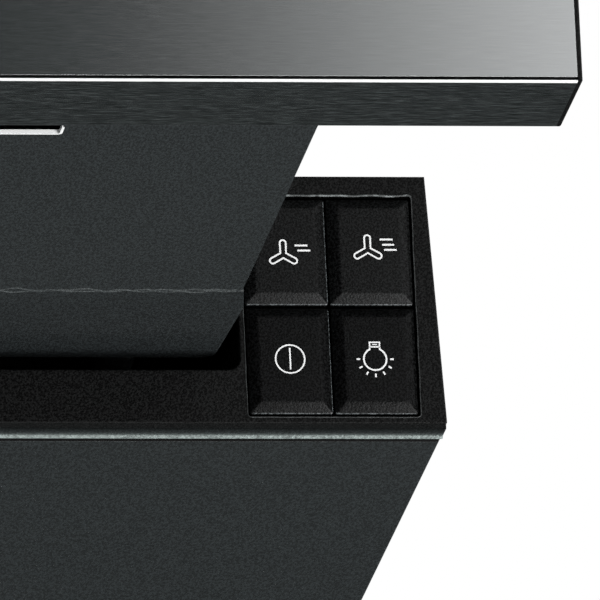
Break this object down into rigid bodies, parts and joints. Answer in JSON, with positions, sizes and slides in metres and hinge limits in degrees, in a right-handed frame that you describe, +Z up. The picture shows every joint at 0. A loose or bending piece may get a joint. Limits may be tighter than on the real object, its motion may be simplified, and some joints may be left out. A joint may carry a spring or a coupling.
{
  "type": "under cabinet range hood",
  "caption": "Slim under cabinet range hood with a slide-out visor, push keys beside the visor, grease filters below, and a fan housing with a round duct collar on top.",
  "frame": {"origin": "centre of the four cabinet screw holes, on the top face of the base", "axes": "+X to the right as seen from the front, +Y to the back, +Z up; the visor pulls out towards -Y"},
  "size_m": [0.762, 0.492, 0.2848],
  "materials": {
    "dark_paint": "fine-grain satin dark grey",
    "tray_paint": "fine-grain satin dark grey",
    "black_plastic": "fine-grain satin black",
    "key_plastic": "satin black with white symbols",
    "brushed_dark": "brushed along its length, dark",
    "polished": "polished",
    "zinc": "zinc-plated sheet",
    "rail_steel": "black zinc",
    "nylon": "nylon",
    "rubber": "matt",
    "aluminium": "satin",
    "lens": "frosted",
    "lamp_trim": "satin",
    "grey_plastic": "moulded",
    "wheel_plastic": "moulded",
    "screw_steel": "zinc-plated",
    "motor_paint": "black enamel",
    "board_green": "circuit board",
    "white_can": "moulded"
  },
  "bodies": {
    "hood": {"base_shell": "dark_paint", "underside_panel": "dark_paint", "black_front": "black_plastic", "runner_carriers": "rail_steel", "base_screws": "screw_steel", "rails_fixed": "rail_steel", "slide_stops": "rubber", "spring_power": "screw_steel", "spring_lamp": "screw_steel", "spring_fan_slow": "screw_steel", "spring_fan_fast": "screw_steel", "switch_block": "black_plastic", "control_board": "board_green", "filter_frame_right": "aluminium", "filter_mesh_right": "aluminium", "filter_frame_left": "aluminium", "filter_mesh_left": "aluminium", "lamp_bodies": "lamp_trim", "lamp_lenses": "lens", "upper_housing": "zinc", "housing_screws": "screw_steel", "outlet_adapter": "grey_plastic", "duct_collar": "zinc", "flap_pins": "screw_steel", "scroll_casing": "grey_plastic", "motor_plate": "zinc", "inlet_ring": "grey_plastic", "motor": "motor_paint", "motor_mounts": "rubber", "junction_box": "grey_plastic", "junction_cover": "grey_plastic", "cable_gland": "grey_plastic", "capacitor": "white_can"},
    "tray": {"tray_pan": "tray_paint", "tray_slot_liner": "polished", "tray_cover": "tray_paint", "tray_tie": "rail_steel", "tray_screws": "screw_steel", "bar_sheet": "brushed_dark", "bar_stiffener": "zinc", "bar_edge_strip": "polished", "bar_caps": "black_plastic", "rail_tray_right": "rail_steel", "rail_tray_left": "rail_steel"},
    "runner_right": {"rail_middle_right": "rail_steel", "rail_pads_right": "nylon"},
    "runner_left": {"rail_middle_left": "rail_steel", "rail_pads_left": "nylon"},
    "key_power": {"key_power": "key_plastic"},
    "key_lamp": {"key_lamp": "key_plastic"},
    "key_fan_slow": {"key_fan_slow": "key_plastic"},
    "key_fan_fast": {"key_fan_fast": "key_plastic"},
    "wheel": {"impeller": "wheel_plastic", "fan_shaft": "screw_steel", "shaft_nut": "screw_steel"},
    "damper_front": {"flap_front": "grey_plastic"},
    "damper_rear": {"flap_rear": "grey_plastic"},
    "latch_right": {"filter_latch_right": "black_plastic"},
    "latch_left": {"filter_latch_left": "black_plastic"}
  },
  "joints": [
    {"name": "visor_slide", "type": "slide", "parent": "hood", "child": "tray", "axis": [0, 1, 0], "range_m": [0, 0.173]},
    {"name": "runner_right_slide", "type": "slide", "parent": "hood", "child": "runner_right", "axis": [0, 1, 0], "range_m": [0, 0.0865]},
    {"name": "runner_left_slide", "type": "slide", "parent": "hood", "child": "runner_left", "axis": [0, 1, 0], "range_m": [0, 0.0865]},
    {"name": "press_power", "type": "slide", "parent": "hood", "child": "key_power", "axis": [0, 1, 0], "range_m": [0, 0.0025], "stiffness_N_per_m": 400, "springref_m": -0.002, "deforming": ["spring_power"]},
    {"name": "press_lamp", "type": "slide", "parent": "hood", "child": "key_lamp", "axis": [0, 1, 0], "range_m": [0, 0.0025], "stiffness_N_per_m": 400, "springref_m": -0.002, "deforming": ["spring_lamp"]},
    {"name": "press_fan_slow", "type": "slide", "parent": "hood", "child": "key_fan_slow", "axis": [0, 1, 0], "range_m": [0, 0.0025], "stiffness_N_per_m": 400, "springref_m": -0.002, "deforming": ["spring_fan_slow"]},
    {"name": "press_fan_fast", "type": "slide", "parent": "hood", "child": "key_fan_fast", "axis": [0, 1, 0], "range_m": [0, 0.0025], "stiffness_N_per_m": 400, "springref_m": -0.002, "deforming": ["spring_fan_fast"]},
    {"name": "wheel_spin", "type": "hinge", "parent": "hood", "child": "wheel", "pos_m": [0, -0.01, 0.092], "axis": [1, 0, 0], "continuous": true},
    {"name": "damper_front_turn", "type": "hinge", "parent": "hood", "child": "damper_front", "pos_m": [0, 0.0505, 0.19], "axis": [-1, 0, 0], "range_deg": [0, 80]},
    {"name": "damper_rear_turn", "type": "hinge", "parent": "hood", "child": "damper_rear", "pos_m": [0, 0.0585, 0.19], "axis": [1, 0, 0], "range_deg": [0, 80]},
    {"name": "latch_right_slide", "type": "slide", "parent": "hood", "child": "latch_right", "axis": [0, 1, 0], "range_m": [0, 0.0045], "stiffness_N_per_m": 300, "springref_m": -0.002},
    {"name": "latch_left_slide", "type": "slide", "parent": "hood", "child": "latch_left", "axis": [0, 1, 0], "range_m": [0, 0.0045], "stiffness_N_per_m": 300, "springref_m": -0.002}
  ],
  "couplings": [
    {"joint": "runner_right_slide", "follows": "visor_slide", "ratio": 0.5},
    {"joint": "runner_left_slide", "follows": "visor_slide", "ratio": 0.5}
  ]
}
